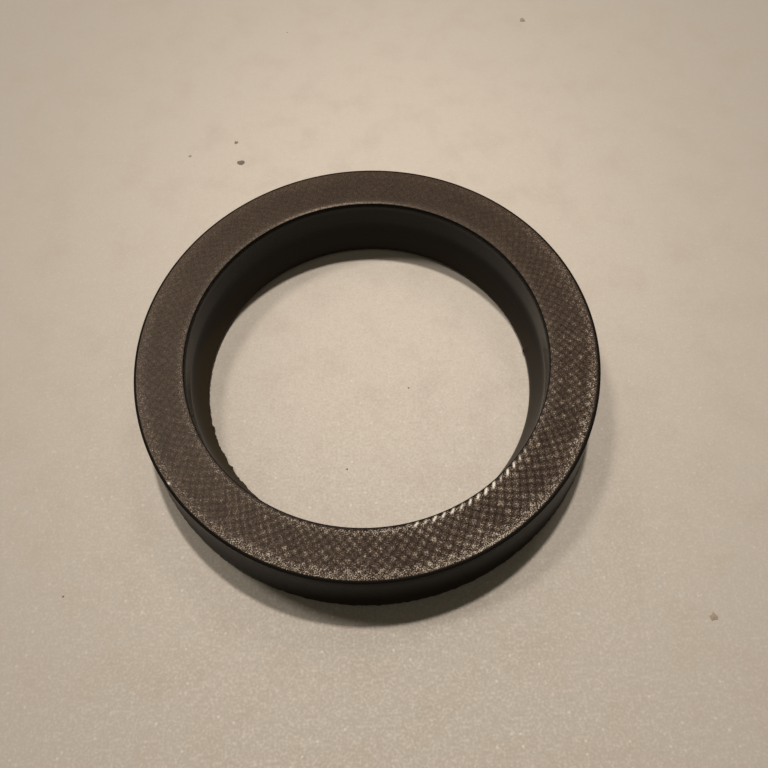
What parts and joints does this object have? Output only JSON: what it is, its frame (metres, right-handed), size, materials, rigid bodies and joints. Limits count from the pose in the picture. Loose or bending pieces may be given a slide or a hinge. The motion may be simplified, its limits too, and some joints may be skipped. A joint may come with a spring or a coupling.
{
  "type": "u cup seal",
  "caption": "Rubber ring seal with a flat heel and flared lips on either side of a deep groove, for a rod or piston in its bore.",
  "frame": {"origin": "on the ring's axis, in the plane of the lip tips, which the seal rests on", "axes": "+Z along the ring's axis, from the lip tips up to the flat heel face; X and Y are any two directions across the ring"},
  "size_m": [0.0718, 0.0718, 0.011],
  "materials": {
    "rubber": "satin black moulded rubber on the walls and lips, matt brown-black rubbered cloth with a plain weave on the heel face"
  },
  "bodies": {
    "root": {"u_cup_seal": "rubber"}
  },
  "joints": []
}
